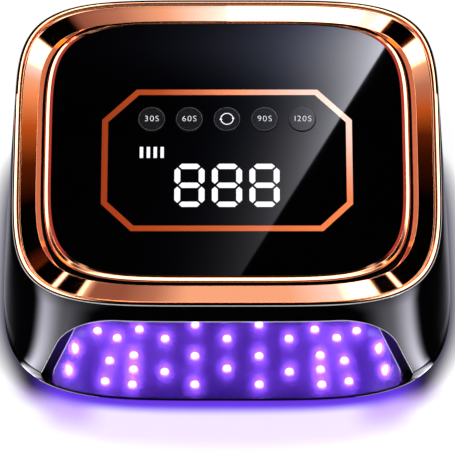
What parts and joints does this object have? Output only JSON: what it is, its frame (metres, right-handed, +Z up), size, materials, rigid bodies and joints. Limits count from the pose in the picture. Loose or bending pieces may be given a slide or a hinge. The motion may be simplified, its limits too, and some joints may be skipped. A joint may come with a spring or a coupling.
{
  "type": "nail lamp",
  "caption": "Cordless nail lamp in gloss black with a rose metal ring, a tilted glass control panel with push keys and lit digits, and a hand tunnel lined with violet light beads",
  "frame": {"origin": "centre of the footprint, on the surface that the feet stand on", "axes": "+X to the right as the hand opening is faced, -Y out of the hand opening, +Z up"},
  "size_m": [0.2194, 0.1791, 0.101],
  "materials": {
    "gloss_black": "piano black, high gloss",
    "rose_metal": "polished rose gold plating",
    "inlay_rose": "satin copper print in the glass",
    "black_glass": "black mirror glass",
    "display_white": "lit white segments",
    "key_charcoal": "satin charcoal",
    "floor_mirror": "mirror sheet",
    "liner_mirror": "metallised reflector",
    "led_violet": "clear lens, lit violet",
    "sensor_dark": "dark red infrared window",
    "rubber_black": "matt",
    "matte_black": "fine texture",
    "white_plastic": "light guide, matt",
    "board_green": "green solder mask",
    "board_white": "white solder mask on aluminium",
    "switch_grey": "moulded",
    "steel": "zinc plated",
    "magnet_nickel": "nickel plated",
    "cell_blue": "shrink wrap over a steel can",
    "wire_red": "insulated wire"
  },
  "bodies": {
    "base": {"base_tray": "gloss_black", "floor_mirror": "floor_mirror", "rubber_feet": "rubber_black", "keeper_discs": "steel"},
    "lamp": {"upper_housing": "gloss_black", "bezel_ring": "rose_metal", "bezel_seal": "rubber_black", "panel_rim": "rose_metal", "glass_panel": "black_glass", "octagon_inlay": "inlay_rose", "digit_segments": "display_white", "charge_bars": "display_white", "panel_carrier": "matte_black", "display_module": "white_plastic", "control_board": "board_green", "key_switches": "switch_grey", "board_screws": "steel", "reflector_liner": "liner_mirror", "led_beads": "led_violet", "ceiling_led_board": "board_white", "side_led_boards": "board_white", "rear_led_board": "board_white", "sensor_windows": "sensor_dark", "bottom_cover": "matte_black", "cover_screws": "steel", "lamp_magnets": "magnet_nickel", "battery_cells": "cell_blue", "battery_cradle": "matte_black", "main_board": "board_green", "board_parts": "switch_grey", "main_board_screws": "steel", "dc_jack": "matte_black", "power_switch": "switch_grey", "wiring": "wire_red"},
    "key_30": {"key_30": "key_charcoal"},
    "key_60": {"key_60": "key_charcoal"},
    "key_cycle": {"key_cycle": "key_charcoal"},
    "key_90": {"key_90": "key_charcoal"},
    "key_120": {"key_120": "key_charcoal"},
    "power_button": {"power_button": "key_charcoal"}
  },
  "joints": [
    {"name": "lift_off", "type": "slide", "parent": "base", "child": "lamp", "axis": [0, 0, 1], "range_m": [0, 0.05]},
    {"name": "press_30", "type": "slide", "parent": "lamp", "child": "key_30", "axis": [0, 0.2419, -0.9703], "range_m": [0, 0.0006], "stiffness_N_per_m": 350, "springref_m": -0.001},
    {"name": "press_60", "type": "slide", "parent": "lamp", "child": "key_60", "axis": [0, 0.2419, -0.9703], "range_m": [0, 0.0006], "stiffness_N_per_m": 350, "springref_m": -0.001},
    {"name": "press_cycle", "type": "slide", "parent": "lamp", "child": "key_cycle", "axis": [0, 0.2419, -0.9703], "range_m": [0, 0.0006], "stiffness_N_per_m": 350, "springref_m": -0.001},
    {"name": "press_90", "type": "slide", "parent": "lamp", "child": "key_90", "axis": [0, 0.2419, -0.9703], "range_m": [0, 0.0006], "stiffness_N_per_m": 350, "springref_m": -0.001},
    {"name": "press_120", "type": "slide", "parent": "lamp", "child": "key_120", "axis": [0, 0.2419, -0.9703], "range_m": [0, 0.0006], "stiffness_N_per_m": 350, "springref_m": -0.001},
    {"name": "press_power", "type": "slide", "parent": "lamp", "child": "power_button", "axis": [0, -1, 0], "range_m": [0, 0.0008], "stiffness_N_per_m": 500, "springref_m": -0.001}
  ]
}
